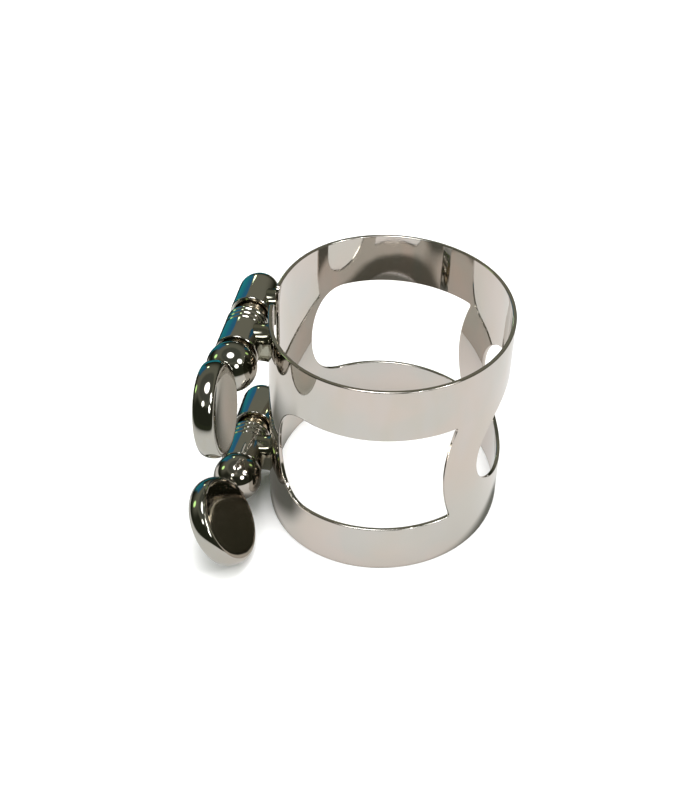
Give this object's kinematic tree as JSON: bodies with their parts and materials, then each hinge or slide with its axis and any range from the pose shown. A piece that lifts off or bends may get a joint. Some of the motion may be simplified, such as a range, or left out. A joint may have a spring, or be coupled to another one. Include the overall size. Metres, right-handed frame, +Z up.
{
  "type": "saxophone ligature",
  "caption": "Springy open metal band with cut-out windows, drawn closed by thumbscrews in brazed posts to clamp a reed against a saxophone mouthpiece.",
  "frame": {"origin": "Under the middle of the whole part's bounding box, on the flat plane the bottom rim stands on. The bore axis is parallel to +Z and passes through x +2.710 mm, y +2.513 mm.", "axes": "+Z runs up the bore, square to both rims. -X is the side with the open ends of the band and the two screws, +X the side with the oval window. The screw axes are parallel to Y, with the thumb discs towards -Y and the threaded posts towards +Y."},
  "size_m": [0.032, 0.0352, 0.0247],
  "materials": {
    "band_nickel": "polished nickel plate over rolled brass sheet",
    "post_nickel": "polished nickel plate on turned posts",
    "saddle_nickel": "polished nickel plate over the brazed feet",
    "screw_nickel": "polished nickel plate on the ball collars and thumb discs",
    "thread_nickel": "nickel plate worn warm on the thread crests"
  },
  "bodies": {
    "near_half": {"band_front_half": "band_nickel", "upper_plain_post": "post_nickel", "lower_plain_post": "post_nickel", "upper_plain_saddle": "saddle_nickel", "lower_plain_saddle": "saddle_nickel"},
    "far_half": {"band_back_half": "band_nickel", "upper_threaded_post": "post_nickel", "lower_threaded_post": "post_nickel", "upper_threaded_saddle": "saddle_nickel", "lower_threaded_saddle": "saddle_nickel"},
    "upper_screw": {"upper_screw_rod": "thread_nickel", "upper_screw_collar": "screw_nickel", "upper_thumb_disc": "screw_nickel"},
    "lower_screw": {"lower_screw_rod": "thread_nickel", "lower_screw_collar": "screw_nickel", "lower_thumb_disc": "screw_nickel"}
  },
  "joints": [
    {"name": "upper_screw_turn", "type": "hinge", "parent": "near_half", "child": "upper_screw", "pos_m": [-0.01274, 0.00251, 0.0199], "axis": [0, 1, 0], "range_deg": [-360, 540]},
    {"name": "lower_screw_turn", "type": "hinge", "parent": "near_half", "child": "lower_screw", "pos_m": [-0.01274, 0.00251, 0.0044], "axis": [0, 1, 0], "range_deg": [-362, 542]},
    {"name": "band_flex", "type": "hinge", "parent": "near_half", "child": "far_half", "pos_m": [0.01572, 0.00251, 0.0119], "axis": [0, 0, 1], "range_deg": [-1.7, 2.5]}
  ],
  "couplings": [
    {"joint": "lower_screw_turn", "follows": "upper_screw_turn", "ratio": 1},
    {"joint": "band_flex", "follows": "upper_screw_turn", "ratio": 0.004474}
  ]
}
